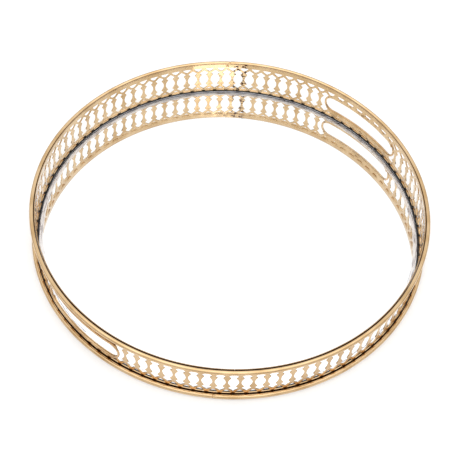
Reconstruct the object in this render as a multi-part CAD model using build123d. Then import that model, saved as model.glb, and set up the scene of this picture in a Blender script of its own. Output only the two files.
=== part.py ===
"""Round vanity tray: a mirrored floor inside a pierced gallery wall between two wire rims.

Millimetres, +Z up.  The origin is the middle of the base, on the surface the tray stands on.
The two hand slots are on the X axis, at 0 and 180 degrees round the wall.
"""
from build123d import *
import math
import os

# ---- overall sizes ----
tray_diameter = 330.0
tray_height = 38.0
rim_wire_diameter = 4.0

# ---- pierced gallery wall ----
gallery_thickness = 0.8
gallery_lap = 1.6             # how far the wall reaches past the middle of each rim wire
gallery_end_gap = 0.3         # open butt between the ends of the two half walls
opening_count = 98            # tall openings in one full turn of the wall
seam_pitches = 13             # from the middle of a hand slot to a wall seam

# Heights below are from the middle of the wall, widths from the middle of the opening or post.
lobe_half_width = 4.2         # tall opening at mid height
barb_half_width = 2.15        # tall opening where the barbs of two posts face each other
barb_low = 5.5
barb_high = 6.1
shoulder_half_width = 3.5     # tall opening beyond the barbs
shoulder_low = 7.0
shoulder_high = 8.8
opening_tip = 11.7
arch_apex = 10.0              # small arched opening beyond each end of a post
arch_bend_half_width = 2.4
arch_bend = 11.7
arch_base_half_width = 3.7
arch_base = 14.3

# ---- hand slots ----
slot_length = 81.0            # clear length inside the wire frame, along the wall
slot_height = 15.3            # clear height inside the wire frame
slot_frame_wire = 2.0
slot_frame_lap = 0.5          # wall showing inside the middle line of the frame wire
slot_missing_pitches = 3      # openings each side of the slot's middle that the slot takes away

# ---- floor ----
felt_thickness = 0.4
felt_clearance = 1.0          # felt edge to the solder tacks
base_plate_thickness = 0.6
base_plate_clearance = 0.1
tape_thickness = 0.2
tape_pad_diameter = 24.0
tape_pad_count = 8
silvering_thickness = 0.1
silvering_margin = 0.5
glass_thickness = 3.0
glass_bevel = 0.4
gasket_width = 0.9
gasket_rise = 0.5             # gasket top above the glass top

# ---- solder and welds ----
weld_length = 1.6
top_weld_angle = 47.0
bottom_weld_angle = 222.5
tack_count = 12
tack_diameter = 3.0
tack_height = 0.3
bead_length = 4.0
bead_height = 2.4
bead_thickness = 0.4

# ---- places worked out from the sizes above ----
wire_radius = rim_wire_diameter / 2
rim_radius = tray_diameter / 2 - wire_radius
wall_outer = rim_radius - wire_radius
wall_inner = wall_outer - gallery_thickness
wall_bottom = wire_radius - gallery_lap
wall_top = tray_height - wall_bottom
wall_middle = tray_height / 2
pitch = 360.0 / opening_count
seam_angle = seam_pitches * pitch

frame_wire_radius = slot_frame_wire / 2
frame_radius = wall_outer + frame_wire_radius
frame_end_radius = slot_height / 2 + frame_wire_radius
frame_half_turn = math.degrees((slot_length / 2 - slot_height / 2) / frame_radius)

base_plate_bottom = wall_bottom
base_plate_top = base_plate_bottom + base_plate_thickness
tape_top = base_plate_top + tape_thickness
silvering_top = tape_top + silvering_thickness
glass_top = silvering_top + glass_thickness
glass_radius = wall_inner - gasket_width
base_plate_radius = wall_inner - base_plate_clearance
felt_bottom = base_plate_bottom - felt_thickness
felt_radius = wall_outer - tack_diameter - felt_clearance


def wall_plane(angle, radius):
    """A plane standing on the wall at an angle: its x runs round the tray, its y up."""
    turn = math.radians(angle)
    outward = (math.cos(turn), math.sin(turn), 0)
    around = (-math.sin(turn), math.cos(turn), 0)
    middle = (radius * outward[0], radius * outward[1], wall_middle)
    return Plane(origin=middle, x_dir=around, z_dir=outward)


def disc(radius, bottom, top):
    """A flat round disc between two heights."""
    return Pos(0, 0, bottom) * extrude(Circle(radius), top - bottom)


def mirrored_face(right_side):
    """A closed face from the right-hand edges of an outline that is the same on its left."""
    left_side = [edge.mirror(Plane.YZ) for edge in right_side]
    return make_face(right_side + left_side)


def tall_opening_face():
    """Outline of a tall opening: a lens between the barbs, and a pointed lobe at each end."""
    lens = TangentArc((lobe_half_width, 0), (barb_half_width, barb_low), tangent=(0, 1))
    lobe = Polyline(
        (barb_half_width, barb_low),
        (barb_half_width, barb_high),
        (shoulder_half_width, shoulder_low),
        (shoulder_half_width, shoulder_high),
        (0, opening_tip),
    )
    upper = [lens] + lobe.edges()
    lower = [edge.mirror(Plane.XZ) for edge in upper]
    return mirrored_face(upper + lower)


def arch_face():
    """Outline of the small arched opening above a post."""
    flank = ThreePointArc(
        (0, arch_apex),
        (arch_bend_half_width, arch_bend),
        (arch_base_half_width, arch_base),
    )
    base = Line((arch_base_half_width, arch_base), (0, arch_base))
    return mirrored_face([flank, base])


def wall_cutter(face):
    """A face drawn on the wall at angle 0, made a bar that goes through the wall."""
    reach = 3 * gallery_thickness
    placed = wall_plane(0, wall_outer) * face
    return extrude(placed, reach, both=True)


def slot_cutter(angle):
    """The hand slot in the wall: a round-ended slot that follows the curve of the wall."""
    end_radius = frame_end_radius - slot_frame_lap
    reach = 3 * gallery_thickness
    section = Plane.XZ * Pos(wall_outer, wall_middle) * Rectangle(2 * reach, 2 * end_radius)
    band = revolve(section, Axis.Z, 2 * frame_half_turn)
    cutter = Rot(0, 0, -frame_half_turn) * band
    for side in (-frame_half_turn, frame_half_turn):
        cutter += extrude(wall_plane(side, wall_outer) * Circle(end_radius), reach, both=True)
    return Rot(0, 0, angle) * cutter


def gallery_half(handle_angle):
    """Half of the wall, with its hand slot at handle_angle and its seams each side."""
    gap_angle = math.degrees(gallery_end_gap / wall_outer)
    section = Pos((wall_inner + wall_outer) / 2, wall_middle)
    section *= Rectangle(gallery_thickness, wall_top - wall_bottom)
    half = revolve(Plane.XZ * section, Axis.Z, 180 - gap_angle)
    first_seam = handle_angle + seam_angle - 180
    half = Rot(0, 0, first_seam + gap_angle / 2) * half

    tall = wall_cutter(tall_opening_face())
    upper_arch = wall_cutter(arch_face())
    lower_arch = upper_arch.mirror(Plane.XY.offset(wall_middle))
    half_count = opening_count // 2
    cutters = [slot_cutter(handle_angle)]
    for step in range(half_count + 1):
        from_handle = step + seam_pitches - half_count
        if abs(from_handle) > slot_missing_pitches:
            cutters.append(Rot(0, 0, handle_angle + from_handle * pitch) * tall)
        if step < half_count:
            post_angle = handle_angle + (from_handle + 0.5) * pitch
            cutters.append(Rot(0, 0, post_angle) * upper_arch)
            cutters.append(Rot(0, 0, post_angle) * lower_arch)
    return half - cutters


def rim(height, weld_angle):
    """A wire rim bent to a ring, open by the length of its butt weld."""
    gap = math.degrees(weld_length / rim_radius)
    section = Plane.XZ * Pos(rim_radius, height) * Circle(wire_radius)
    ring = revolve(section, Axis.Z, 360 - gap)
    return Rot(0, 0, weld_angle + gap / 2) * ring


def rim_weld(height, weld_angle):
    """The weld that closes a rim, dressed flush with the wire."""
    gap = math.degrees(weld_length / rim_radius)
    section = Plane.XZ * Pos(rim_radius, height) * Circle(wire_radius)
    return Rot(0, 0, weld_angle - gap / 2) * revolve(section, Axis.Z, gap)


def slot_frame(angle):
    """The wire loop that stands on the outside of the wall round a hand slot."""
    turn = math.radians(frame_half_turn)
    end_x = frame_radius * math.cos(turn)
    end_y = frame_radius * math.sin(turn)
    top = wall_middle + frame_end_radius
    bottom = wall_middle - frame_end_radius
    tip_x = end_x - frame_end_radius * math.sin(turn)
    tip_y = end_y + frame_end_radius * math.cos(turn)
    path = Wire([
        ThreePointArc((end_x, -end_y, top), (frame_radius, 0, top), (end_x, end_y, top)),
        ThreePointArc((end_x, end_y, top), (tip_x, tip_y, wall_middle), (end_x, end_y, bottom)),
        ThreePointArc((end_x, end_y, bottom), (frame_radius, 0, bottom), (end_x, -end_y, bottom)),
        ThreePointArc((end_x, -end_y, bottom), (tip_x, -tip_y, wall_middle), (end_x, -end_y, top)),
    ])
    start = Plane(origin=path @ 0, z_dir=path % 0)
    loop = sweep(start * Circle(frame_wire_radius), path=path)
    return Rot(0, 0, angle) * loop


def solder_bead(angle, height):
    """A low oval lump of solder on the inner face of the wall."""
    place = wall_plane(angle, wall_inner)
    outline = Pos(0, height - wall_middle) * Ellipse(bead_length / 2, bead_height / 2)
    blank = extrude(place * outline, 2 * bead_thickness, both=True)
    shell = disc(wall_inner, 0, tray_height) - disc(wall_inner - bead_thickness, 0, tray_height)
    return blank & shell


def round_the_tray(count, radius, piece):
    """Copies of a piece spaced evenly on a circle."""
    return [Rot(0, 0, 360 * step / count) * Pos(radius, 0, 0) * piece for step in range(count)]


def gasket():
    """The black strip that fills the joint between the glass and the wall."""
    outer = disc(wall_inner, base_plate_top, glass_top + gasket_rise)
    return outer - disc(glass_radius, base_plate_top, glass_top + gasket_rise)


def glass():
    """The round float-glass floor, its top edge lightly ground."""
    slab = disc(glass_radius, silvering_top, glass_top)
    return chamfer(slab.edges().group_by(Axis.Z)[-1], glass_bevel)


def save(name, *solids):
    """Write one node's STEP file."""
    shape = solids[0] if len(solids) == 1 else Compound(children=list(solids))
    shape.label = name
    export_step(shape, os.path.join("parts", name + ".step"))


os.makedirs("parts", exist_ok=True)

bottom_rim_height = wire_radius
top_rim_height = tray_height - wire_radius
save("top_rim_wire", rim(top_rim_height, top_weld_angle))
save("bottom_rim_wire", rim(bottom_rim_height, bottom_weld_angle))
save("top_rim_weld", rim_weld(top_rim_height, top_weld_angle))
save("bottom_rim_weld", rim_weld(bottom_rim_height, bottom_weld_angle))

save("gallery_wall_right", gallery_half(0))
save("gallery_wall_left", gallery_half(180))
save("handle_frame_right", slot_frame(0))
save("handle_frame_left", slot_frame(180))

margin_middle = (wall_top + wall_middle + arch_base) / 2
save("gallery_seam_solder", *[solder_bead(seam_angle + half, margin_middle) for half in (0, 180)])
bead_rise = opening_tip - bead_height / 2
bead_heights = (wall_middle - bead_rise, wall_middle + bead_rise)
save("handle_frame_solder",
     *[solder_bead(half, height) for half in (0, 180) for height in bead_heights])

save("base_plate", disc(base_plate_radius, base_plate_bottom, base_plate_top))
tack = disc(tack_diameter / 2, base_plate_bottom - tack_height, base_plate_bottom)
save("base_solder_tacks", *round_the_tray(tack_count, wall_outer - tack_diameter / 2, tack))
save("felt_backing", disc(felt_radius, felt_bottom, base_plate_bottom))

tape_pad = disc(tape_pad_diameter / 2, base_plate_top, tape_top)
save("mirror_tape_pads", *round_the_tray(tape_pad_count, glass_radius * 0.75, tape_pad),
     tape_pad)
save("mirror_silvering", disc(glass_radius - silvering_margin, tape_top, silvering_top))
save("mirror_glass", glass())
save("mirror_gasket", gasket())
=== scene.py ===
"""Round mirrored vanity tray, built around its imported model.

A mirror floor lies inside a pierced, gold-plated gallery that stands between two wire rims, with a
wire-framed hand slot on each side.  Metres, +Z up.  The tray stands on the origin, and its hand slots
are on the X axis.
"""
import enum
import logging
import math
from dataclasses import dataclass, field

import bmesh
import bpy
from mathutils import Matrix, Vector, noise
from mathutils.geometry import delaunay_2d_cdt


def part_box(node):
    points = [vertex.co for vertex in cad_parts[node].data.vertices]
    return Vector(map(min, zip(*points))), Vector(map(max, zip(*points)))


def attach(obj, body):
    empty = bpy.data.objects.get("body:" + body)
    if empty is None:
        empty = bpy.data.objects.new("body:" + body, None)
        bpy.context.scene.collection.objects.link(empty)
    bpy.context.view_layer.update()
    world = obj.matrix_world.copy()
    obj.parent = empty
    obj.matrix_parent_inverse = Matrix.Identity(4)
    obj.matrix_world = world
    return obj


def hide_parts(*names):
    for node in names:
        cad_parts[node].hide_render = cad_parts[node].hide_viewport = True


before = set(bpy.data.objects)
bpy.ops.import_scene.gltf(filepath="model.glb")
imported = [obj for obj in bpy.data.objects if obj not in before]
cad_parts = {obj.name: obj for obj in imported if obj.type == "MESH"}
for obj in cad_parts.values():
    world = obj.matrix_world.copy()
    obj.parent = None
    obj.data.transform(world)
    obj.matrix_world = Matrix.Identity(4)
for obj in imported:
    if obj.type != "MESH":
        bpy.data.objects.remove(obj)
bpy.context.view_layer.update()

log = logging.getLogger("vanity_tray")
MM = 0.001
Point = tuple[float, float]
Colour = tuple[float, float, float]


class SlotName(enum.Enum):
    """Names of material slots for the tray's pieces; keep takes one but doesn't read it."""

    WIRE = "plated_wire"
    SHEET = "plated_sheet"
    SOLDER = "plated_solder"
    BASE = "black_base"
    FELT = "black_felt"
    SILVER = "silvering"
    GLASS = "clear_glass"
    GASKET = "black_gasket"


# ---------------------------------------------------------------- node trees


@dataclass(frozen=True)
class Signal:
    """A number carried by a socket; arithmetic on it adds Math nodes."""

    graph: "Graph"
    socket: bpy.types.NodeSocket

    def __add__(self, other: "Signal | float") -> "Signal":
        """Sum."""
        return self.graph.maths("ADD", self, other)

    __radd__ = __add__

    def __mul__(self, other: "Signal | float") -> "Signal":
        """Product."""
        return self.graph.maths("MULTIPLY", self, other)

    __rmul__ = __mul__

    def __sub__(self, other: "Signal | float") -> "Signal":
        """Difference."""
        return self.graph.maths("SUBTRACT", self, other)

    def __rsub__(self, other: float) -> "Signal":
        """Difference from a plain number."""
        return self.graph.maths("SUBTRACT", other, self)

    def __truediv__(self, other: "Signal | float") -> "Signal":
        """Quotient."""
        return self.graph.maths("DIVIDE", self, other)

    def larger(self, other: "Signal | float") -> "Signal":
        """The larger of two numbers."""
        return self.graph.maths("MAXIMUM", self, other)

    def between(self, low: float, high: float) -> "Signal":
        """A smooth step from 0 at low to 1 at high.

        Args:
            low: where the step starts.
            high: where the step ends; it may be below low, for a falling step.

        Returns:
            The step, from 0 to 1.
        """
        rising = high > low
        node = self.graph.node(
            "ShaderNodeMapRange",
            {"interpolation_type": "SMOOTHSTEP"},
            {"Value": self, "From Min": min(low, high), "From Max": max(low, high),
             "To Min": 0.0 if rising else 1.0, "To Max": 1.0 if rising else 0.0},
        )
        return self.graph.signal(node, "Result")


class Graph:
    """Adds nodes to one shader or geometry tree."""

    def __init__(self, tree: bpy.types.NodeTree) -> None:
        """Keeps the tree that nodes are added to."""
        self.tree = tree

    def feed(self, socket: bpy.types.NodeSocket, value: object) -> None:
        """Links a signal or a socket to a socket, or sets its value.

        Args:
            socket: the input socket.
            value: a Signal, an output socket or a plain value.
        """
        if isinstance(value, Signal):
            value = value.socket
        if isinstance(value, bpy.types.NodeSocket):
            self.tree.links.new(value, socket)
        else:
            socket.default_value = value

    def node(self, kind: str, settings: dict | None = None,
             inputs: dict | None = None) -> bpy.types.Node:
        """Adds a node: its settings first, then the values or links of its sockets.

        Args:
            kind: the node's type.
            settings: its properties; "stops" are a colour ramp's (position, colour) pairs.
            inputs: socket names or numbers, and what feeds them.

        Returns:
            The node.
        """
        made = self.tree.nodes.new(kind)
        for name, value in (settings or {}).items():
            if name == "stops":
                self._set_stops(made.color_ramp, value)
            else:
                setattr(made, name, value)
        for key, value in (inputs or {}).items():
            self.feed(made.inputs[key], value)
        return made

    @staticmethod
    def _set_stops(ramp: bpy.types.ColorRamp, stops: list[tuple[float, Colour]]) -> None:
        """Gives a colour ramp its stops."""
        while len(ramp.elements) < len(stops):
            ramp.elements.new(1.0)
        for element, (position, colour) in zip(ramp.elements, stops):
            element.position = position
            element.color = (*colour, 1.0)

    def signal(self, node: bpy.types.Node, output: str | int = 0) -> Signal:
        """A node's output as a number."""
        return Signal(self, node.outputs[output])

    def maths(self, operation: str, *values: "Signal | float") -> Signal:
        """Adds a Math node.

        Args:
            operation: its operation.
            values: what feeds its sockets, in order.

        Returns:
            Its result.
        """
        node = self.node("ShaderNodeMath", {"operation": operation}, dict(enumerate(values)))
        return self.signal(node)

    def blend(self, amount: Signal, low: object, high: object) -> bpy.types.NodeSocket:
        """Mixes two colours.

        Args:
            amount: 0 for the first colour, 1 for the second.
            low: the first colour, or a colour socket.
            high: the second colour, or a colour socket.

        Returns:
            The colour socket.
        """
        paints = [(*c, 1.0) if isinstance(c, tuple) else c for c in (low, high)]
        node = self.node("ShaderNodeMix", {"data_type": "RGBA"},
                         {0: amount, 6: paints[0], 7: paints[1]})
        return node.outputs[2]

    def position(self) -> tuple[bpy.types.NodeSocket, Signal, Signal, Signal]:
        """A piece's own coordinates: the vector, then its X, Y and Z."""
        where = self.node("ShaderNodeTexCoord").outputs["Object"]
        parts = self.node("ShaderNodeSeparateXYZ", inputs={0: where})
        return where, self.signal(parts, 0), self.signal(parts, 1), self.signal(parts, 2)

    def grain(self, where: object, scale: float, detail: float = 2.0,
              rough: float = 0.5) -> Signal:
        """Noise from 0 to 1.

        Args:
            where: the vector that it reads.
            scale: blotches to a metre.
            detail: octaves.
            rough: weight of the finer octaves.

        Returns:
            The noise.
        """
        node = self.node("ShaderNodeTexNoise", inputs={
            "Vector": where, "Scale": scale, "Detail": detail, "Roughness": rough})
        return self.signal(node, "Fac")

    def vector(self, x: object, y: object, z: object) -> bpy.types.NodeSocket:
        """Three numbers joined to a vector."""
        return self.node("ShaderNodeCombineXYZ", inputs={0: x, 1: y, 2: z}).outputs[0]

    def bump(self, height: Signal, depth: float, strength: float = 1.0) -> bpy.types.NodeSocket:
        """A normal from a height.

        Args:
            height: from 0 to 1.
            depth: metres from the lowest to the highest.
            strength: how much of it shows.

        Returns:
            The normal.
        """
        node = self.node("ShaderNodeBump", inputs={
            "Height": height, "Distance": depth, "Strength": strength})
        return node.outputs["Normal"]


class PieceTree(Graph):
    """A Geometry Nodes tree that makes one kind of piece."""

    def __init__(self, name: str) -> None:
        """Makes an empty tree with a geometry input and output."""
        super().__init__(bpy.data.node_groups.new(name, "GeometryNodeTree"))
        self.tree.interface.new_socket(
            "Geometry", in_out="OUTPUT", socket_type="NodeSocketGeometry")
        self.tree.interface.new_socket(
            "Geometry", in_out="INPUT", socket_type="NodeSocketGeometry")
        self.source = self.tree.nodes.new("NodeGroupInput")

    def size(self, name: str, kind: str = "NodeSocketFloat") -> bpy.types.NodeSocket:
        """Adds a named input.

        Args:
            name: what it is called.
            kind: its socket type.

        Returns:
            The socket that gives it inside the tree.
        """
        self.tree.interface.new_socket(name, in_out="INPUT", socket_type=kind)
        return self.source.outputs[name]

    def number(self, name: str) -> Signal:
        """A named number input, as a signal."""
        return Signal(self, self.size(name))

    def end(self, shape: bpy.types.NodeSocket) -> None:
        """Realizes the instances, gives the material and ends the tree."""
        material = self.size("Material", "NodeSocketMaterial")
        whole = self.node("GeometryNodeRealizeInstances", inputs={0: shape}).outputs[0]
        smooth = self.node("GeometryNodeSetShadeSmooth", inputs={"Geometry": whole}).outputs[0]
        dressed = self.node("GeometryNodeSetMaterial",
                            inputs={"Geometry": smooth, "Material": material})
        self.node("NodeGroupOutput", inputs={0: dressed.outputs[0]})

    def put_on(self, piece: bpy.types.Object, values: dict[str, object]) -> None:
        """Adds the tree to a piece as a modifier and sets its inputs.

        Args:
            piece: the object whose mesh feeds the tree.
            values: the named inputs' values.
        """
        modifier = piece.modifiers.new(self.tree.name, "NODES")
        modifier.node_group = self.tree
        for item in self.tree.interface.items_tree:
            if item.in_out == "INPUT" and item.name in values:
                modifier[item.identifier] = values[item.name]


# ---------------------------------------------------------------- finishes


@dataclass(frozen=True)
class Finish:
    """A finish: its name and how its nodes are joined."""

    name: str

    def material(self) -> bpy.types.Material:
        """Makes the material.

        Returns:
            The material, with its nodes joined.
        """
        made = bpy.data.materials.new(self.name)
        made.use_nodes = True
        shader = made.node_tree.nodes["Principled BSDF"]
        self.paint(Graph(made.node_tree), shader)
        return made

    def paint(self, graph: Graph, shader: bpy.types.Node) -> None:
        """Joins the finish's nodes to the shader."""
        raise NotImplementedError


@dataclass(frozen=True)
class GoldPlate(Finish):
    """Pale gold plating under a thin clear lacquer, with faint streaks and warmer blotches."""

    pale: Colour = (0.69, 0.485, 0.27)
    warm: Colour = (0.55, 0.355, 0.165)
    # painted shade: the dark brown that stands in for shade and dark reflections
    painted_shade_colour: Colour = (0.07, 0.022, 0.004)
    rough_low: float = 0.07
    rough_high: float = 0.17
    coat: float = 0.5
    coat_roughness: float = 0.06
    ripple_depth: float = 0.00004

    def painted_dark(self, graph: Graph, x: Signal, y: Signal, z: Signal) -> Signal | None:
        """Where painted shade and painted dark reflections darken the plating, from 0 to 1, or None."""
        return None

    def ripple(self, graph: Graph, where: object, x: Signal, y: Signal, z: Signal) -> Signal:
        """The height of the plating's unevenness, from 0 to 1."""
        return graph.grain(where, 260.0, 3.0)

    def paint(self, graph: Graph, shader: bpy.types.Node) -> None:
        """Joins colour, roughness and bump to the shader.

        Args:
            graph: the material's nodes.
            shader: its Principled BSDF.
        """
        where, x, y, z = graph.position()
        blotch = graph.grain(where, 55.0, 3.0).between(0.35, 0.72)
        fine = graph.grain(where, 900.0, 2.0)
        colour = graph.blend(blotch, self.pale, self.warm)
        painted_mask = self.painted_dark(graph, x, y, z)
        roughness = self.rough_low + (self.rough_high - self.rough_low) * (0.6 * blotch + 0.4 * fine)
        # painted shade: where the mask is set, the colour goes to the painted dark brown and the lacquer
        # gets duller
        if painted_mask is not None:
            ragged = (painted_mask + (fine - 0.5) * 0.35 * painted_mask).between(0.05, 0.95)
            colour = graph.blend(ragged, colour, self.painted_shade_colour)
            roughness = roughness + 0.25 * ragged
        graph.feed(shader.inputs["Base Color"], colour)
        graph.feed(shader.inputs["Roughness"], roughness)
        graph.feed(shader.inputs["Normal"],
                   graph.bump(self.ripple(graph, where, x, y, z), self.ripple_depth))
        shader.inputs["Metallic"].default_value = 1.0
        shader.inputs["Coat Weight"].default_value = self.coat
        shader.inputs["Coat Roughness"].default_value = self.coat_roughness


@dataclass(frozen=True)
class WirePlate(GoldPlate):
    """Plating on drawn wire, with draw lines that run along the wire round the tray."""

    def ripple(self, graph: Graph, where: object, x: Signal, y: Signal, z: Signal) -> Signal:
        """Fine lines along the wire, and slow unevenness.

        Args:
            graph: the material's nodes.
            where: the piece's coordinates.
            x: their X.
            y: their Y.
            z: their Z.

        Returns:
            The height, from 0 to 1.
        """
        radius = graph.maths("SQRT", x * x + y * y)
        along = graph.maths("ARCTAN2", y, x)
        lines = graph.grain(graph.vector(radius * 2400.0, z * 2400.0, along * 4.0), 1.0, 2.0)
        return 0.45 * lines + 0.55 * graph.grain(where, 120.0, 2.0)


@dataclass(frozen=True)
class SheetPlate(GoldPlate):
    """Plating on the stamped gallery strip.

    Painted shade darkens the grooves along both rims on the outside, and the nodes between the
    arches.  The strip is uneven near its soldered seams, and dark blotches painted beside one of
    them stand in for dark reflections.
    """

    wall_inner: float = 0.1602
    wall_outer: float = 0.161
    wall_bottom: float = 0.0004
    wall_top: float = 0.0386
    node_height: float = 0.0078
    pitch: float = 0.01032
    seam_angle: float = 0.8335
    groove: float = 0.0034
    node_half_width: float = 0.0016
    seam_reach: float = 0.020
    inside_share: float = 0.15
    top_inside_share: float = 0.3
    # painted dark reflections: where the dark blotches beside one seam lie
    dark_reflection_angle: float = math.radians(43.4)
    dark_reflection_reach: float = 0.0075
    dark_reflection_blotches: float = 380.0

    def painted_dark(self, graph: Graph, x: Signal, y: Signal, z: Signal) -> Signal:
        """The painted shade in the grooves and at the nodes, and the painted dark reflections by a seam.

        Args:
            graph: the material's nodes.
            x: the piece's X.
            y: its Y.
            z: its Z.

        Returns:
            The painted shade and dark reflections, from 0 to 1.
        """
        radius = graph.maths("SQRT", x * x + y * y)
        along = graph.maths("ARCTAN2", y, x) * self.wall_outer
        from_node = graph.maths("PINGPONG", along, self.pitch / 2)
        middle = (self.wall_inner + self.wall_outer) / 2
        outside = radius.between(middle, self.wall_outer - 0.1 * MM)
        # painted shade: darker brown in the groove above the bottom rim, on the outside
        bottom_groove = z.between(self.wall_bottom + self.groove + 0.5 * MM,
                                  self.wall_bottom + self.groove - 0.4 * MM)
        # painted shade: darker brown in the groove under the top rim, less on the inside
        top_groove = z.between(self.wall_top - 1.3 * MM, self.wall_top - 0.6 * MM)
        top_groove = top_groove * (self.top_inside_share + (1.0 - self.top_inside_share) * outside)
        # painted shade: darker brown at the nodes below the lower arches, less on the inside
        beside = from_node.between(self.node_half_width, 0.0)
        low = z.between(self.node_height - 0.4 * MM, self.wall_bottom + self.groove)
        node = beside * low * (self.inside_share + (1.0 - self.inside_share) * outside)
        # painted dark reflections: dark blotches beside one seam
        around = graph.maths("ABSOLUTE", along - self.dark_reflection_angle * self.wall_outer)
        spots = graph.grain(graph.vector(x, y, z * 1.4), self.dark_reflection_blotches, 1.0, 0.5)
        spots = spots.between(0.52, 0.55)
        dark_reflection_spots = around.between(self.dark_reflection_reach, 0.6 * self.dark_reflection_reach) * spots
        return (outside * bottom_groove).larger(top_groove).larger(node).larger(dark_reflection_spots)

    def ripple(self, graph: Graph, where: object, x: Signal, y: Signal, z: Signal) -> Signal:
        """Slow waves all round and deeper ones beside the two seams.

        Args:
            graph: the material's nodes.
            where: the piece's coordinates.
            x: their X.
            y: their Y.
            z: their Z; not used.

        Returns:
            The height, from 0 to 1.
        """
        along = graph.maths("ARCTAN2", y, x)
        half_turn = graph.maths("PINGPONG", along - self.seam_angle, math.pi / 2)
        near = (half_turn * self.wall_outer).between(self.seam_reach, 0.25 * self.seam_reach)
        waves = graph.grain(where, 210.0, 2.0)
        return 0.12 * waves + 0.88 * near * graph.grain(where, 150.0, 1.0)


@dataclass(frozen=True)
class SolderPlate(GoldPlate):
    """Plated solder: a little darker and duller, with a pitted skin."""

    pale: Colour = (0.70, 0.47, 0.24)
    warm: Colour = (0.42, 0.24, 0.10)
    rough_low: float = 0.22
    rough_high: float = 0.45
    ripple_depth: float = 0.0001

    def ripple(self, graph: Graph, where: object, x: Signal, y: Signal, z: Signal) -> Signal:
        """Coarse pits."""
        return graph.grain(where, 1400.0, 3.0, 0.6)


@dataclass(frozen=True)
class Coating(Finish):
    """A plain non-metal finish with mottled colour, mottled gloss and a grained surface."""

    light: Colour = (0.02, 0.02, 0.02)
    dark: Colour = (0.008, 0.008, 0.008)
    blotches: float = 60.0
    grains: float = 900.0
    rough_low: float = 0.35
    rough_high: float = 0.6
    grain_depth: float = 0.00003
    sheen: float = 0.0
    glow: float = 0.0

    def paint(self, graph: Graph, shader: bpy.types.Node) -> None:
        """Joins colour, roughness and bump to the shader.

        Args:
            graph: the material's nodes.
            shader: its Principled BSDF.
        """
        where, _, _, _ = graph.position()
        blotch = graph.grain(where, self.blotches, 3.0)
        fine = graph.grain(where, self.grains, 3.0, 0.6)
        graph.feed(shader.inputs["Base Color"],
                   graph.blend((0.5 * blotch + 0.5 * fine).between(0.3, 0.7), self.dark, self.light))
        graph.feed(shader.inputs["Roughness"],
                   self.rough_low + (self.rough_high - self.rough_low) * fine)
        graph.feed(shader.inputs["Normal"], graph.bump(fine, self.grain_depth))
        shader.inputs["Sheen Weight"].default_value = self.sheen
        shader.inputs["Emission Color"].default_value = (1.0, 1.0, 1.0, 1.0)
        shader.inputs["Emission Strength"].default_value = self.glow


@dataclass(frozen=True)
class Silver(Finish):
    """Mirror silver, a shade duller in faint clouds, with a pale streaked border that isn't silvered."""

    bright: Colour = (0.975, 0.98, 0.985)
    dull: Colour = (0.955, 0.96, 0.965)
    border_pale: Colour = (0.98, 0.98, 1.0)
    border_grey: Colour = (0.42, 0.40, 0.43)
    edge_radius: float = 0.1588
    border: float = 3.4 * MM
    border_waver: float = 1.2 * MM
    border_blur: float = 0.2 * MM
    border_roughness: float = 0.32
    streaks_round: float = 11.0
    streaks_across: float = 1100.0

    def paint(self, graph: Graph, shader: bpy.types.Node) -> None:
        """Joins the clouded silver and its streaked border to the shader.

        Args:
            graph: the material's nodes.
            shader: its Principled BSDF.
        """
        where, x, y, _ = graph.position()
        cloud = graph.grain(where, 14.0, 3.0).between(0.35, 0.7)
        radius = graph.maths("SQRT", x * x + y * y)
        along = graph.maths("ARCTAN2", y, x)
        inner = self.edge_radius - self.border
        waver = (graph.grain(where, 90.0, 2.0) - 0.5) * self.border_waver
        border = (radius + waver).between(inner - self.border_blur, inner + self.border_blur)
        lines = graph.vector(along * self.streaks_round, radius * self.streaks_across, 0.0)
        streak = graph.grain(lines, 1.0, 3.0, 0.6)
        paint = graph.blend(streak.between(0.50, 0.60), self.border_pale, self.border_grey)
        silver = graph.blend(cloud, self.bright, self.dull)
        graph.feed(shader.inputs["Base Color"], graph.blend(border, silver, paint))
        graph.feed(shader.inputs["Roughness"], 0.004 * cloud + self.border_roughness * border)
        shader.inputs["Metallic"].default_value = 1.0


@dataclass(frozen=True)
class FloatGlass(Finish):
    """Clear float glass, faintly green, with a trace of haze."""

    tint: Colour = (0.975, 0.99, 0.983)
    clear: Colour = (0.99, 0.997, 0.994)
    ior: float = 1.52

    def paint(self, graph: Graph, shader: bpy.types.Node) -> None:
        """Joins the glass to the shader.

        Args:
            graph: the material's nodes.
            shader: its Principled BSDF.
        """
        where, _, _, _ = graph.position()
        haze = graph.grain(where, 22.0, 4.0).between(0.45, 0.8)
        graph.feed(shader.inputs["Base Color"], graph.blend(haze, self.clear, self.tint))
        graph.feed(shader.inputs["Roughness"], 0.006 * haze)
        shader.inputs["IOR"].default_value = self.ior
        shader.inputs["Transmission Weight"].default_value = 1.0


@dataclass(frozen=True)
class GroundEdge(Finish):
    """The ground edge of the glass: pale grey, with darker grinding streaks along it."""

    pale: Colour = (0.97, 0.97, 0.99)
    grey: Colour = (0.48, 0.46, 0.50)

    def paint(self, graph: Graph, shader: bpy.types.Node) -> None:
        """Joins the streaks to the shader.

        Args:
            graph: the material's nodes.
            shader: its Principled BSDF.
        """
        where, x, y, z = graph.position()
        along = graph.maths("ARCTAN2", y, x)
        streak = graph.grain(graph.vector(along * 28.0, z * 1500.0, 0.0), 1.0, 3.0, 0.6)
        fine = graph.grain(where, 1500.0, 2.0)
        graph.feed(shader.inputs["Base Color"],
                   graph.blend(streak.between(0.36, 0.62), self.grey, self.pale))
        graph.feed(shader.inputs["Roughness"], 0.25 + 0.2 * fine)
        shader.inputs["Metallic"].default_value = 1.0
        graph.feed(shader.inputs["Normal"], graph.bump(streak, 0.00004))


# ---------------------------------------------------------------- sizes and shapes


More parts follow.
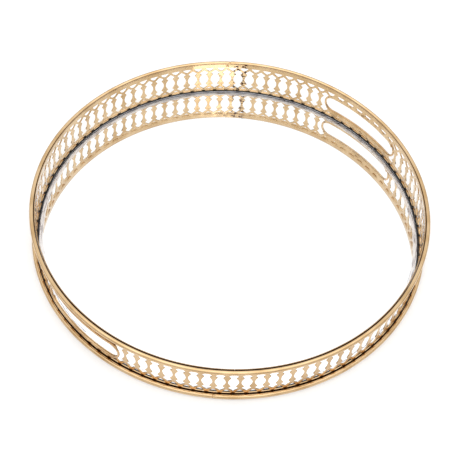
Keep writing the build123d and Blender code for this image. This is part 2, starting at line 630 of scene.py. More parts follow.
@dataclass(frozen=True)
class TrayPlan:
    """Sizes that the pieces share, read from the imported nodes."""

    rim_radius: float
    wire_radius: float
    bottom_rim: float
    top_rim: float
    wall_outer: float
    wall_inner: float
    wall_bottom: float
    wall_top: float
    opening_count: int = 98
    seam_pitches: int = 13

    @classmethod
    def read(cls) -> "TrayPlan":
        """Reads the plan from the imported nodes.

        Returns:
            The plan, in metres.
        """
        rim_low, rim_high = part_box("top_rim_wire")
        foot_low, foot_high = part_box("bottom_rim_wire")
        wall_low, wall_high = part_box("gallery_wall_right")
        wire_radius = (rim_high.z - rim_low.z) / 2
        return cls(
            rim_radius=rim_high.x - wire_radius,
            wire_radius=wire_radius,
            bottom_rim=(foot_low.z + foot_high.z) / 2,
            top_rim=(rim_low.z + rim_high.z) / 2,
            wall_outer=rim_high.x - 2 * wire_radius,
            wall_inner=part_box("mirror_gasket")[1].x,
            wall_bottom=wall_low.z,
            wall_top=wall_high.z,
        )

    @property
    def pitch(self) -> float:
        """Length of one pitch along the outside of the wall."""
        return 2 * math.pi * self.wall_outer / self.opening_count

    @property
    def seam_angle(self) -> float:
        """Angle from a hand slot's middle to the next seam, in radians."""
        return 2 * math.pi * self.seam_pitches / self.opening_count

    @property
    def wall_middle(self) -> float:
        """Height of the middle of the wall."""
        return (self.wall_bottom + self.wall_top) / 2


def keep(piece: bpy.types.Object, slot: SlotName, *nodes: str) -> bpy.types.Object:
    """Makes a finished piece ride on the tray and stand for its CAD nodes.

    Args:
        piece: the finished piece.
        slot: a material slot name; not used.
        nodes: the CAD nodes that it stands for.

    Returns:
        The piece.
    """
    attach(piece, "root")
    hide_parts(*nodes)
    log.info("%s: %d faces", piece.name, len(piece.data.polygons))
    return piece


def dress(node: str, material: bpy.types.Material) -> None:
    """Gives a carried-over CAD node its material.

    Args:
        node: the CAD node's name.
        material: its material.
    """
    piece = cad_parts[node]
    if not piece.material_slots:
        piece.data.materials.append(material)
    for holder in piece.material_slots:
        holder.material = material
    log.info("%s: dressed", node)


def new_piece(name: str, vertices: list, edges: list, faces: list,
              material: bpy.types.Material | None = None) -> bpy.types.Object:
    """Makes an object from a list of vertices, edges and faces.

    Args:
        name: the object's name.
        vertices: the places of its vertices.
        edges: pairs of vertex numbers, where there are no faces.
        faces: tuples of vertex numbers.
        material: its material, if it has one yet.

    Returns:
        The object, in the scene.
    """
    mesh = bpy.data.meshes.new(name)
    mesh.from_pydata(vertices, edges, faces)
    mesh.update()
    if material is not None:
        mesh.materials.append(material)
    piece = bpy.data.objects.new(name, mesh)
    bpy.context.scene.collection.objects.link(piece)
    return piece


def settle(piece: bpy.types.Object) -> bpy.types.Object:
    """Turns a piece and its modifiers into a plain mesh.

    Args:
        piece: the piece with its modifiers.

    Returns:
        The same piece, with no modifiers.
    """
    graph = bpy.context.evaluated_depsgraph_get()
    mesh = bpy.data.meshes.new_from_object(
        piece.evaluated_get(graph), preserve_all_data_layers=True, depsgraph=graph)
    piece.modifiers.clear()
    piece.data = mesh
    mesh.name = piece.name
    return piece


def lathe(name: str, profile: list[Point], material: bpy.types.Material,
          segments: int = 256, crease: float = 35.0) -> bpy.types.Object:
    """Turns a closed profile round the Z axis.

    Args:
        name: the piece's name.
        profile: (radius, height) points, anticlockwise with radius to the right; a profile that
            starts and ends on the axis is closed by its two poles.
        material: its material.
        segments: steps round the axis.
        crease: edges that turn by more degrees than this stay sharp.

    Returns:
        The piece.
    """
    shape = bmesh.new()
    rings = []
    for radius, height in profile:
        count = segments if radius > 1e-9 else 1
        turn = 2 * math.pi / count
        rings.append([
            shape.verts.new((radius * math.cos(i * turn), radius * math.sin(i * turn), height))
            for i in range(count)])
    closed = len(rings[0]) > 1
    pairs = list(zip(rings, rings[1:] + rings[:1])) if closed else list(zip(rings, rings[1:]))
    for low, high in pairs:
        for i in range(segments):
            corners = [low[i % len(low)], low[(i + 1) % len(low)],
                       high[(i + 1) % len(high)], high[i % len(high)]]
            shape.faces.new(list(dict.fromkeys(corners)))
    bmesh.ops.recalc_face_normals(shape, faces=shape.faces)
    mesh = bpy.data.meshes.new(name)
    shape.to_mesh(mesh)
    shape.free()
    mesh.shade_smooth()
    mesh.set_sharp_from_angle(angle=math.radians(crease))
    mesh.materials.append(material)
    piece = bpy.data.objects.new(name, mesh)
    bpy.context.scene.collection.objects.link(piece)
    return piece


def swept_wire_tree() -> PieceTree:
    """A tree that sweeps round wire along a path of edges, with slight unevenness.

    Returns:
        The tree; its inputs are Wire Radius, Sides, Unevenness and Seed.
    """
    tree = PieceTree("Swept wire")
    path = tree.node("GeometryNodeMeshToCurve", inputs={0: tree.source.outputs["Geometry"]})
    section = tree.node("GeometryNodeCurvePrimitiveCircle", inputs={
        "Resolution": tree.size("Sides", "NodeSocketInt"), "Radius": tree.size("Wire Radius")})
    wire = tree.node("GeometryNodeCurveToMesh", inputs={
        "Curve": path.outputs[0], "Profile Curve": section.outputs[0], "Fill Caps": True})
    place = tree.node("GeometryNodeInputPosition").outputs[0]
    uneven = tree.node("ShaderNodeTexNoise", {"noise_dimensions": "4D"}, {
        "Vector": place, "W": tree.size("Seed"), "Scale": 60.0, "Detail": 1.0})
    centred = tree.node("ShaderNodeVectorMath", {"operation": "SUBTRACT"},
                        {0: uneven.outputs["Color"], 1: (0.5, 0.5, 0.5)})
    shift = tree.node("ShaderNodeVectorMath", {"operation": "SCALE"},
                      {0: centred.outputs[0], "Scale": tree.size("Unevenness")})
    moved = tree.node("GeometryNodeSetPosition",
                      inputs={"Geometry": wire.outputs[0], "Offset": shift.outputs[0]})
    tree.end(moved.outputs[0])
    return tree


def solder_lumps(name: str, places: list[Matrix], half_size: tuple[float, float, float],
                 material: bpy.types.Material, fineness: int = 3) -> bpy.types.Object:
    """Uneven rounded lumps of solder joined in one piece.

    Args:
        name: the piece's name.
        places: where each lump lies; its Z points away from the face that it lies on.
        half_size: half the length, width and height of a lump.
        material: their material.
        fineness: subdivisions of each lump.

    Returns:
        The piece.
    """
    shape = bmesh.new()
    for number, place in enumerate(places):
        made = bmesh.ops.create_icosphere(shape, subdivisions=fineness, radius=1.0)["verts"]
        for vertex in made:
            way = vertex.co.copy()
            swell = 0.86 + 0.22 * noise.noise(1.7 * way + Vector((7.3 * number, 0, 0)))
            vertex.co = place @ Vector(w * s * swell for w, s in zip(way, half_size))
    bmesh.ops.recalc_face_normals(shape, faces=shape.faces)
    mesh = bpy.data.meshes.new(name)
    shape.to_mesh(mesh)
    shape.free()
    mesh.shade_smooth()
    mesh.materials.append(material)
    piece = bpy.data.objects.new(name, mesh)
    bpy.context.scene.collection.objects.link(piece)
    return piece


# ---------------------------------------------------------------- wire rims


@dataclass
class WireRims:
    """The two wire rims and the butt weld that closes each."""

    plan: TrayPlan
    wire: bpy.types.Material
    solder: bpy.types.Material
    tree: PieceTree
    weld_length: float = 1.6 * MM
    top_weld_angle: float = math.radians(47.0)
    bottom_weld_angle: float = math.radians(222.5)
    segments: int = 384
    sides: int = 20
    unevenness: float = 0.08 * MM

    def rim(self, name: str, height: float, weld_angle: float, seed: float) -> bpy.types.Object:
        """One rim, open by the length of its weld.

        Args:
            name: the CAD node that it stands for.
            height: the height of the wire's middle.
            weld_angle: where its weld is, in radians.
            seed: which unevenness it gets.

        Returns:
            The rim.
        """
        radius = self.plan.rim_radius
        gap = self.weld_length / radius
        start = weld_angle + gap / 2
        step = (2 * math.pi - gap) / self.segments
        path = [(radius * math.cos(start + i * step), radius * math.sin(start + i * step), height)
                for i in range(self.segments + 1)]
        piece = new_piece(name + "_drawn", path, [(i, i + 1) for i in range(self.segments)], [])
        self.tree.put_on(piece, {
            "Wire Radius": self.plan.wire_radius - self.unevenness / 2, "Sides": self.sides,
            "Unevenness": self.unevenness, "Seed": seed, "Material": self.wire})
        return keep(settle(piece), SlotName.WIRE, name)

    def weld(self, name: str, height: float, weld_angle: float) -> bpy.types.Object:
        """The weld of a rim: a short, slightly swollen length dressed back to the wire.

        Args:
            name: the CAD node that it stands for.
            height: the height of the wire's middle.
            weld_angle: where it is, in radians.

        Returns:
            The weld.
        """
        inset = 0.25 * MM
        place = (Matrix.Rotation(weld_angle, 4, "Z")
                 @ Matrix.Translation((self.plan.rim_radius - inset, 0, height))
                 @ Matrix.Rotation(math.pi / 2, 4, "Z"))
        reach = self.plan.wire_radius
        lump = solder_lumps(name + "_bead", [place], (2.3 * MM, reach + inset, reach),
                            self.solder, 4)
        return keep(lump, SlotName.SOLDER, name)

    def build(self) -> None:
        """Builds both rims and both welds."""
        plan = self.plan
        self.rim("top_rim_wire", plan.top_rim, self.top_weld_angle, 1.0)
        self.rim("bottom_rim_wire", plan.bottom_rim, self.bottom_weld_angle, 2.0)
        self.weld("top_rim_weld", plan.top_rim, self.top_weld_angle)
        self.weld("bottom_rim_weld", plan.bottom_rim, self.bottom_weld_angle)


# ---------------------------------------------------------------- gallery


@dataclass(frozen=True)
class StampedPattern:
    """The openings stamped in the gallery strip.

    Heights are from the middle of the wall, widths from the middle of an opening or a post.
    """

    lobe_half_width: float = 4.2 * MM
    barb_half_width: float = 2.15 * MM
    barb_low: float = 5.5 * MM
    barb_high: float = 6.1 * MM
    shoulder_half_width: float = 3.5 * MM
    shoulder_low: float = 7.0 * MM
    shoulder_high: float = 8.8 * MM
    opening_tip: float = 11.7 * MM
    arch_apex: float = 10.0 * MM
    arch_bend_half_width: float = 2.4 * MM
    arch_bend: float = 11.7 * MM
    arch_base_half_width: float = 3.7 * MM
    arch_base: float = 14.3 * MM
    lens_steps: int = 5
    arch_steps: int = 5

    def lens_width(self, height: float) -> float:
        """Half the width of a tall opening between its barbs, at a height."""
        bulge = self.lobe_half_width - self.barb_half_width
        radius = (self.barb_low ** 2 + bulge ** 2) / (2 * bulge)
        return self.lobe_half_width - radius + math.sqrt(radius ** 2 - height ** 2)

    def lobe(self) -> list[Point]:
        """(half width, height) of a tall opening from its barb to its tip."""
        return [
            (self.barb_half_width, self.barb_high),
            (self.shoulder_half_width, self.shoulder_low),
            (self.shoulder_half_width, self.shoulder_high),
            (0.0, self.opening_tip),
        ]

    def opening_half(self) -> list[Point]:
        """(half width, height) of a tall opening from its lower tip to its upper tip."""
        steps = self.lens_steps
        heights = [self.barb_low * i / steps for i in range(steps + 1)]
        upper = [(self.lens_width(h), h) for h in heights] + self.lobe()
        lower = [(w, -h) for w, h in reversed(upper[1:])]
        return lower + upper

    def arch(self, middle: float, side: int) -> list[Point]:
        """The outline of one small arch.

        Args:
            middle: where its middle is along the strip.
            side: 1 above the middle of the wall, -1 below it.

        Returns:
            Its points, from one foot over the apex to the other foot.
        """
        rise = (self.arch_bend - self.arch_apex, self.arch_base - self.arch_apex)
        wide = (self.arch_bend_half_width, self.arch_base_half_width)
        # The flank is the circle through the apex, the bend and the foot.
        chord = [w * w + h * h for w, h in zip(wide, rise)]
        across = 2 * (wide[0] * rise[1] - wide[1] * rise[0])
        centre_w = (chord[0] * rise[1] - chord[1] * rise[0]) / across
        centre_h = (wide[0] * chord[1] - wide[1] * chord[0]) / across
        radius = math.hypot(centre_w, centre_h)
        first = math.atan2(-centre_h, -centre_w)
        last = math.atan2(rise[1] - centre_h, wide[1] - centre_w)
        turn = (last - first + math.pi) % (2 * math.pi) - math.pi
        flank = []
        for i in range(self.arch_steps + 1):
            angle = first + turn * i / self.arch_steps
            flank.append((centre_w + radius * math.cos(angle),
                          self.arch_apex + centre_h + radius * math.sin(angle)))
        left = [(middle - w, side * h) for w, h in reversed(flank)]
        right = [(middle + w, side * h) for w, h in flank[1:]]
        return left + right


@dataclass
class Gallery:
    """The pierced wall: two half strips, each rolled to a half circle with a hand slot in it."""

    plan: TrayPlan
    sheet: bpy.types.Material
    solder: bpy.types.Material
    pattern: StampedPattern = field(default_factory=StampedPattern)
    slot_length: float = 81.0 * MM
    slot_height: float = 15.3 * MM
    frame_wire_radius: float = 1.0 * MM
    frame_lap: float = 0.5 * MM
    slot_pitches: int = 4
    end_gap: float = 0.3 * MM
    edge_round: float = 0.11 * MM
    bead_half_size: tuple[float, float, float] = (2.0 * MM, 1.2 * MM, 0.4 * MM)

    @property
    def half_height(self) -> float:
        """Half the height of the strip."""
        return (self.plan.wall_top - self.plan.wall_bottom) / 2

    @property
    def slot_end_radius(self) -> float:
        """Radius of the round ends of the hole in the strip."""
        return self.slot_height / 2 + self.frame_wire_radius - self.frame_lap

    @property
    def slot_straight(self) -> float:
        """Half the straight run of the hole, along the outside of the wall."""
        frame_radius = self.plan.wall_outer + self.frame_wire_radius
        half_turn = (self.slot_length - self.slot_height) / 2 / frame_radius
        return half_turn * self.plan.wall_outer

    def flat_sheet(self, name: str, pieces: list[tuple[list[Point], list[list[Point]]]],
                   spare: list[Point]) -> bpy.types.Object:
        """A flat mesh of outlines with holes, along X and up Z.

        Args:
            name: the object's name.
            pieces: each piece's outline and its holes.
            spare: points inside the outlines that the mesh also uses.

        Returns:
            The flat object.
        """
        vertices, faces = [], []
        for outline, holes in pieces:
            points, edges = [], []
            for loop in [outline, *holes]:
                first = len(points)
                points += [Vector(p) for p in loop]
                edges += [(first + i, first + (i + 1) % len(loop)) for i in range(len(loop))]
            points += [Vector(p) for p in spare if self.inside(p, outline)]
            made, _, triangles, *_ = delaunay_2d_cdt(points, edges, [], 1, 1e-7)
            first = len(vertices)
            vertices += [(p.x, 0.0, p.y) for p in made]
            for triangle in triangles:
                middle = sum((made[i] for i in triangle), Vector((0, 0))) / 3
                if self.inside(middle, outline) and not any(self.inside(middle, h) for h in holes):
                    faces.append([first + i for i in triangle])
        return new_piece(name, vertices, [], faces)

    @staticmethod
    def inside(point: Point, loop: list[Point]) -> bool:
        """Whether a point is inside a closed outline."""
        crossings = 0
        for (ax, ay), (bx, by) in zip(loop, loop[1:] + loop[:1]):
            if (ay > point[1]) != (by > point[1]):
                crossings += point[0] < ax + (point[1] - ay) * (bx - ax) / (by - ay)
        return crossings % 2 == 1

    def cell(self) -> bpy.types.Object:
        """One post with half an opening on each side and an arch above and below it."""
        half, top = self.plan.pitch / 2, self.half_height
        opening = self.pattern.opening_half()
        outline = [(-half, -top), (0.0, -top), (half, -top)]
        outline += [(half - w, h) for w, h in opening]
        outline += [(half, top), (0.0, top), (-half, top)]
        outline += [(w - half, h) for w, h in reversed(opening)]
        holes = [self.pattern.arch(0.0, 1), self.pattern.arch(0.0, -1)]
        steps = 3
        spare = [(0.0, self.pattern.arch_apex * i / (steps + 1)) for i in range(-steps, steps + 1)]
        return self.flat_sheet("gallery_cell", [(outline, holes)], spare)

    def slot_crossing(self) -> float:
        """Height at which the slot's round end meets the edge of the opening beside it."""
        edge = self.slot_pitches * self.plan.pitch
        low, high = 0.0, self.pattern.barb_low
        while high - low > 1e-7:
            height = (low + high) / 2
            round_end = self.slot_straight + math.sqrt(self.slot_end_radius ** 2 - height ** 2)
            if round_end > edge - self.pattern.lens_width(height):
                low = height
            else:
                high = height
        return low

    def slot_bands(self) -> bpy.types.Object:
        """The strip above and below the hand slot, with the arches that it keeps."""
        edge, top = self.slot_pitches * self.plan.pitch, self.half_height
        crossing = self.slot_crossing()
        radius, straight = self.slot_end_radius, self.slot_straight
        right = [(edge - w, h) for w, h in reversed(self.pattern.lobe())]
        right.append((edge - self.pattern.barb_half_width, self.pattern.barb_low))
        start, steps = math.asin(crossing / radius), 9
        for i in range(steps + 1):
            angle = start + (math.pi / 2 - start) * i / steps
            right.append((straight + radius * math.cos(angle), radius * math.sin(angle)))
        runs = 4 * self.slot_pitches
        under = [(straight * (1 - 2 * i / runs), radius) for i in range(1, runs)]
        over = [(edge * (2 * i / runs - 1), top) for i in range(runs + 1)]
        upper = over + right + under + [(-x, h) for x, h in reversed(right)]
        middles = [(k + 0.5) * self.plan.pitch for k in range(-self.slot_pitches, self.slot_pitches)]
        pieces = []
        for side in (1, -1):
            outline = [(x, side * h) for x, h in upper]
            pieces.append((outline, [self.pattern.arch(m, side) for m in middles]))
        return self.flat_sheet("gallery_slot_bands", pieces, [])

    def strip_tree(self) -> PieceTree:
        """A tree that lines up cells on both sides of the slot bands and rolls the strip.

        Returns:
            The tree; its inputs are the cell, the numbers of cells, the pitch, the radius, the
            height of the middle, the strip's two ends and the hand slot's angle.
        """
        tree = PieceTree("Gallery strip")
        source = tree.source.outputs["Geometry"]
        cell = tree.node("GeometryNodeObjectInfo", {"transform_space": "ORIGINAL"},
                         {"Object": tree.size("Cell", "NodeSocketObject"), "As Instance": True})
        pitch = tree.number("Pitch")
        rows = [source]
        for side, name in ((-1, "Cells Before"), (1, "Cells After")):
            count = tree.size(name, "NodeSocketInt")
            first = pitch * (side * (self.slot_pitches + 0.5))
            row = tree.node("GeometryNodeMeshLine", inputs={
                "Count": count, "Start Location": tree.vector(first, 0.0, 0.0),
                "Offset": tree.vector(pitch * side, 0.0, 0.0)})
            placed = tree.node("GeometryNodeInstanceOnPoints", inputs={
                "Points": row.outputs[0], "Instance": cell.outputs["Geometry"]})
            rows.append(placed.outputs[0])
        joined = tree.node("GeometryNodeJoinGeometry")
        for row in reversed(rows):
            tree.feed(joined.inputs[0], row)
        whole = tree.node("GeometryNodeRealizeInstances", inputs={0: joined.outputs[0]})
        merged = tree.node("GeometryNodeMergeByDistance",
                           inputs={"Geometry": whole.outputs[0], "Distance": 0.002 * MM})
        place = tree.node("GeometryNodeInputPosition").outputs[0]
        parts = tree.node("ShaderNodeSeparateXYZ", inputs={0: place})
        along = tree.maths("MINIMUM", tree.signal(parts, 0), tree.number("Last End"))
        along = along.larger(tree.number("First End"))
        radius = tree.number("Radius")
        angle = along / radius + tree.number("Slot Angle")
        rolled = tree.vector(radius * tree.maths("COSINE", angle),
                             radius * tree.maths("SINE", angle),
                             tree.signal(parts, 2) + tree.number("Middle"))
        shaped = tree.node("GeometryNodeSetPosition",
                           inputs={"Geometry": merged.outputs[0], "Position": rolled})
        tree.end(shaped.outputs[0])
        return tree

    def half(self, name: str, tree: PieceTree, cell: bpy.types.Object,
             slot_angle: float) -> bpy.types.Object:
        """Half of the wall, given its thickness and softened edges.

        Args:
            name: the CAD node that it stands for.
            tree: the strip tree.
            cell: the flat cell.
            slot_angle: where its hand slot is, in radians.

        Returns:
            The half wall.
        """
        plan = self.plan
        after = plan.seam_pitches - self.slot_pitches
        before = plan.opening_count // 2 - plan.seam_pitches - self.slot_pitches
        piece = self.slot_bands()
        piece.name = name + "_strip"
        tree.put_on(piece, {
            "Cell": cell, "Pitch": plan.pitch, "Cells Before": before, "Cells After": after,
            "First End": -(before + self.slot_pitches) * plan.pitch + self.end_gap / 2,
            "Last End": plan.seam_pitches * plan.pitch - self.end_gap / 2,
            "Radius": plan.wall_outer, "Slot Angle": slot_angle, "Middle": plan.wall_middle,
            "Material": self.sheet})
        thick = piece.modifiers.new("Thickness", "SOLIDIFY")
        thick.thickness = plan.wall_outer - plan.wall_inner
        thick.offset = -1.0
        soft = piece.modifiers.new("Softened edges", "BEVEL")
        soft.width = self.edge_round
        soft.segments = 2
        soft.limit_method = "ANGLE"
        soft.angle_limit = math.radians(40.0)
        piece.modifiers.new("Flat faces", "WEIGHTED_NORMAL")
        return keep(settle(piece), SlotName.SHEET, name)

    def seam_beads(self) -> bpy.types.Object:
        """The solder on the wall's inner face at its two seams."""
        plan = self.plan
        height = (plan.wall_top + plan.wall_middle + self.pattern.arch_base) / 2
        places = [on_inner_face(plan, plan.seam_angle + half, height) for half in (0.0, math.pi)]
        lumps = solder_lumps("gallery_seam_beads", places, self.bead_half_size, self.solder)
        return keep(lumps, SlotName.SOLDER, "gallery_seam_solder")

    def build(self) -> None:
        """Builds both half walls and the solder at their seams."""
        cell = self.cell()
        tree = self.strip_tree()
        self.half("gallery_wall_right", tree, cell, 0.0)
        self.half("gallery_wall_left", tree, cell, math.pi)
        bpy.data.objects.remove(cell)
        self.seam_beads()


def on_inner_face(plan: TrayPlan, angle: float, height: float) -> Matrix:
    """A place on the wall's inner face, with X round the tray and Z towards its middle.

    Args:
        plan: the tray's sizes.
        angle: where it is round the tray, in radians.
        height: its height.

    Returns:
        The place.
    """
    return (Matrix.Rotation(angle, 4, "Z") @ Matrix.Translation((plan.wall_inner, 0, height))
            @ Matrix.Rotation(math.pi / 2, 4, "Z") @ Matrix.Rotation(math.pi / 2, 4, "X"))


# ---------------------------------------------------------------- hand slots


@dataclass
class HandSlots:
    """The wire loops round the two hand slots, and the solder that holds them."""

    plan: TrayPlan
    gallery: Gallery
    wire: bpy.types.Material
    solder: bpy.types.Material
    tree: PieceTree
    end_steps: int = 24
    run_steps: int = 36
    unevenness: float = 0.06 * MM

    def loop(self, name: str, angle: float, seed: float) -> bpy.types.Object:
        """One wire loop, lying on the outside of the wall.

        Args:
            name: the CAD node that it stands for.
            angle: where its middle is, in radians.
            seed: which unevenness it gets.

        Returns:
            The loop.
        """
        gallery, plan = self.gallery, self.plan
        wire_radius = gallery.frame_wire_radius
        radius = plan.wall_outer + wire_radius
        straight = (gallery.slot_length - gallery.slot_height) / 2
        end_radius = gallery.slot_height / 2 + wire_radius
        flat = []
        for side in (1, -1):
            for i in range(self.end_steps + 1):
                turn = math.pi * (i / self.end_steps - 0.5)
                flat.append((side * (straight + end_radius * math.cos(turn)),
                             side * end_radius * math.sin(turn)))
            for i in range(1, self.run_steps):
                flat.append((side * straight * (1 - 2 * i / self.run_steps), side * end_radius))
        path = [(radius * math.cos(angle + x / radius), radius * math.sin(angle + x / radius),
                 plan.wall_middle + h) for x, h in flat]
        edges = [(i, (i + 1) % len(path)) for i in range(len(path))]
        piece = new_piece(name + "_loop", path, edges, [])
        self.tree.put_on(piece, {
            "Wire Radius": wire_radius - self.unevenness / 2, "Sides": 14,
            "Unevenness": self.unevenness, "Seed": seed, "Material": self.wire})
        return keep(settle(piece), SlotName.WIRE, name)

    def beads(self) -> bpy.types.Object:
        """The solder on the wall's inner face above and below each slot."""
        rise = self.gallery.pattern.opening_tip - self.gallery.bead_half_size[1]
        places = [on_inner_face(self.plan, half, self.plan.wall_middle + side * rise)
                  for half in (0.0, math.pi) for side in (-1, 1)]
        lumps = solder_lumps("handle_frame_beads", places, self.gallery.bead_half_size, self.solder)
        return keep(lumps, SlotName.SOLDER, "handle_frame_solder")

    def build(self) -> None:
        """Builds both loops and their solder."""
        self.loop("handle_frame_right", 0.0, 3.0)
        self.loop("handle_frame_left", math.pi, 4.0)
        self.beads()


# ---------------------------------------------------------------- mirror floor


@dataclass
class MirrorFloor:
    """The glass, its silvering, the black strip round it and the tape pads under it."""

    glass: bpy.types.Material
    edge: bpy.types.Material
    silver: bpy.types.Material
    gasket: bpy.types.Material
    tape: bpy.types.Material
    bevel: float = 0.4 * MM
    foot_bevel: float = 0.15 * MM
    silver_bite: float = 0.02 * MM
    strip_round: float = 0.15 * MM
    strip_gap: float = 0.03 * MM
    rim_segments: int = 384

    def slab(self) -> bpy.types.Object:
        """The glass: clear faces and a ground edge."""
        low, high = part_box("mirror_glass")
        radius = high.x
        profile = [(0.0, low.z), (radius - self.foot_bevel, low.z),
                   (radius, low.z + self.foot_bevel), (radius, high.z - self.bevel),
                   (radius - self.bevel, high.z), (0.0, high.z)]
        piece = lathe("mirror_glass_slab", profile, self.glass, self.rim_segments, 20.0)
        piece.data.materials.append(self.edge)
        for face in piece.data.polygons:
            if abs(face.normal.z) < 0.9:
                face.material_index = 1
        return keep(piece, SlotName.GLASS, "mirror_glass")

    def silvering(self) -> bpy.types.Object:
        """The silver, its upper face just inside the glass."""
        low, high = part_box("mirror_silvering")
        top = high.z + self.silver_bite
        profile = [(0.0, low.z), (high.x, low.z), (high.x, top), (0.0, top)]
        piece = lathe("mirror_silver_coat", profile, self.silver, 256, 20.0)
        return keep(piece, SlotName.SILVER, "mirror_silvering")

    def strip(self) -> bpy.types.Object:
        """The black strip between the glass and the wall."""
        low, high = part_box("mirror_gasket")
        inner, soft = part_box("mirror_glass")[1].x + self.strip_gap, self.strip_round
        profile = [(inner, low.z), (high.x, low.z), (high.x, high.z - soft),
                   (high.x - soft, high.z), (inner + soft, high.z), (inner, high.z - soft)]
        piece = lathe("mirror_edge_strip", profile, self.gasket, self.rim_segments)
        return keep(piece, SlotName.GASKET, "mirror_gasket")

    def build(self) -> None:
        """Builds the mirror and dresses its tape pads."""
        self.slab()
        self.silvering()
        self.strip()
        dress("mirror_tape_pads", self.tape)


# ---------------------------------------------------------------- underside


@dataclass
class Underside:
    """The enamelled base plate, the solder tacks that hold it and the felt under it."""

    base: bpy.types.Material
    felt: bpy.types.Material
    solder: bpy.types.Material
    fold: float = 0.15 * MM
    nap: float = 0.05 * MM
    felt_rings: int = 48

    def plate(self) -> bpy.types.Object:
        """The base plate, with softened edges."""
        low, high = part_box("base_plate")
        radius, fold = high.x, self.fold
        profile = [(0.0, low.z), (radius - fold, low.z), (radius, low.z + fold),
                   (radius, high.z - fold), (radius - fold, high.z), (0.0, high.z)]
        return keep(lathe("base_plate_sheet", profile, self.base), SlotName.BASE, "base_plate")

    def pad(self) -> bpy.types.Object:
        """The felt: a soft-edged sheet with an uneven nap on its underside."""
        low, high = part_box("felt_backing")
        radius = high.x
        reach = radius - self.nap
        profile = [(reach * i / self.felt_rings, low.z) for i in range(self.felt_rings + 1)]
        profile += [(radius, low.z + 3 * self.nap), (radius, high.z), (0.0, high.z)]
        piece = lathe("felt_pad", profile, self.felt, 192, 50.0)
        for vertex in piece.data.vertices:
            if vertex.co.z < low.z + self.nap / 2:
                lift = 0.5 + 0.5 * noise.noise(Vector(vertex.co) * 260.0)
                vertex.co.z += self.nap * lift
        piece.data.update()
        return keep(piece, SlotName.FELT, "felt_backing")

    def build(self) -> None:
        """Builds the plate and the felt, and dresses the tacks."""
        self.plate()
        self.pad()
        dress("base_solder_tacks", self.solder)


# ---------------------------------------------------------------- studio


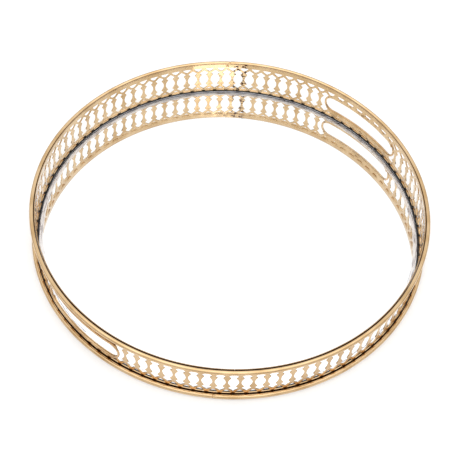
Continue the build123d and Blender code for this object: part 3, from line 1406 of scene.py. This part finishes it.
@dataclass
class Studio:
    """A pale floor, a white dome with a darker horizon, a softbox and the camera.

    The dome's bands are heights on the unit sphere, where 1 is straight overhead.
    """

    paper: bpy.types.Material
    floor_radius: float = 6.0
    dome: float = 1.12
    overhead: float = 0.9
    overhead_band: Point = (0.81, 0.93)
    above_band: Point = (0.08, 0.34)
    horizon: float = 0.10
    camera_azimuth: float = 223.5
    camera_elevation: float = 51.974
    camera_distance: float = 1.2041
    camera_roll: float = 4.089
    lens: float = 111.69
    shift: Point = (0.00265, 0.00427)
    softbox_azimuth: float = 238.0
    softbox_elevation: float = 44.0
    softbox_distance: float = 2.4
    softbox_size: Point = (0.8, 0.5)
    softbox_power: float = 1.6

    @staticmethod
    def direction(azimuth: float, elevation: float) -> Vector:
        """The unit vector towards an azimuth and an elevation, in degrees."""
        turn, rise = math.radians(azimuth), math.radians(elevation)
        return Vector((math.cos(turn) * math.cos(rise), math.sin(turn) * math.cos(rise),
                       math.sin(rise)))

    def floor(self) -> None:
        """Lays the floor."""
        profile = [(0.0, -0.01), (self.floor_radius, -0.01), (self.floor_radius, 0.0), (0.0, 0.0)]
        lathe("studio_floor", profile, self.paper, 96)

    def sky(self) -> None:
        """Makes the dome: brightest overhead, darker in a band above the horizon."""
        world = bpy.data.worlds.new("studio_dome")
        world.use_nodes = True
        bpy.context.scene.world = world
        graph = Graph(world.node_tree)
        way = graph.node("ShaderNodeTexCoord").outputs["Generated"]
        up = graph.signal(graph.node("ShaderNodeSeparateXYZ", inputs={0: way}), 2)
        above = up.between(*self.above_band)
        below = up.between(0.0, -0.03)
        light = self.horizon + (self.dome - self.horizon) * above.larger(below)
        light = light + self.overhead * up.between(*self.overhead_band)
        panel = world.node_tree.nodes["Background"]
        panel.inputs["Color"].default_value = (1.0, 1.0, 1.0, 1.0)
        graph.feed(panel.inputs["Strength"], light)

    def softbox(self) -> None:
        """Hangs the softbox on the camera's side."""
        lamp = bpy.data.lights.new("softbox", "AREA")
        lamp.shape = "RECTANGLE"
        lamp.size, lamp.size_y = self.softbox_size
        lamp.energy = self.softbox_power
        box = bpy.data.objects.new("softbox", lamp)
        way = self.direction(self.softbox_azimuth, self.softbox_elevation)
        box.location = way * self.softbox_distance
        box.rotation_euler = way.to_track_quat("Z", "Y").to_euler()
        bpy.context.scene.collection.objects.link(box)

    def camera(self) -> None:
        """Sets up the camera."""
        data = bpy.data.cameras.new("camera")
        data.lens = self.lens
        data.sensor_width = 36.0
        data.shift_x, data.shift_y = self.shift
        camera = bpy.data.objects.new("camera", data)
        way = self.direction(self.camera_azimuth, self.camera_elevation)
        turned = way.to_track_quat("Z", "Y").to_matrix().to_4x4()
        roll = Matrix.Rotation(math.radians(self.camera_roll), 4, "Z")
        camera.matrix_world = Matrix.Translation(way * self.camera_distance) @ turned @ roll
        bpy.context.scene.collection.objects.link(camera)
        bpy.context.scene.camera = camera

    def build(self) -> None:
        """Builds the studio and sets how colours are shown."""
        scene = bpy.context.scene
        scene.view_settings.view_transform = "Standard"
        scene.cycles.max_bounces = 16
        scene.cycles.glossy_bounces = 12
        scene.cycles.transmission_bounces = 12
        self.floor()
        self.sky()
        self.softbox()
        self.camera()
        log.info("studio: floor, dome, softbox and camera")


def main() -> None:
    """Builds the tray, piece by piece, and the studio round it."""
    logging.basicConfig(level=logging.INFO, format="%(name)s: %(message)s")
    plan = TrayPlan.read()
    wire = WirePlate("plated wire").material()
    loop = WirePlate("plated slot wire", pale=(0.70, 0.48, 0.26), warm=(0.48, 0.29, 0.135),
                     rough_low=0.15, rough_high=0.32, ripple_depth=0.0001).material()
    sheet = SheetPlate(
        "plated sheet", wall_inner=plan.wall_inner, wall_outer=plan.wall_outer,
        wall_bottom=plan.wall_bottom, wall_top=plan.wall_top, pitch=plan.pitch,
        node_height=plan.wall_middle - StampedPattern.opening_tip, seam_angle=plan.seam_angle,
        ripple_depth=0.00035).material()
    solder = SolderPlate("plated solder").material()
    tree = swept_wire_tree()
    WireRims(plan, wire, solder, tree).build()
    gallery = Gallery(plan, sheet, solder)
    gallery.build()
    HandSlots(plan, gallery, loop, solder, tree).build()
    MirrorFloor(
        glass=FloatGlass("float glass").material(),
        edge=GroundEdge("ground glass edge").material(),
        silver=Silver("mirror silver", edge_radius=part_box("mirror_silvering")[1].x).material(),
        gasket=Coating("black strip", light=(0.012, 0.011, 0.011), dark=(0.004, 0.004, 0.004),
                       rough_low=0.5, rough_high=0.75).material(),
        tape=Coating("foam tape", light=(0.75, 0.74, 0.70), dark=(0.55, 0.54, 0.50),
                     grains=1800.0, rough_low=0.8, rough_high=0.95).material(),
    ).build()
    Underside(
        base=Coating("black enamel", rough_low=0.25, rough_high=0.45).material(),
        felt=Coating("black felt", light=(0.035, 0.034, 0.036), dark=(0.010, 0.010, 0.011),
                     grains=2600.0, rough_low=0.9, rough_high=1.0, grain_depth=0.00012,
                     sheen=0.35).material(),
        solder=solder,
    ).build()
    Studio(Coating("studio paper", light=(0.69, 0.69, 0.69), dark=(0.67, 0.67, 0.67), blotches=4.0,
                   grains=300.0, rough_low=0.85, rough_high=0.95, grain_depth=0.0,
                   glow=0.30)
           .material()).build()


if __name__ == "__main__":
    main()
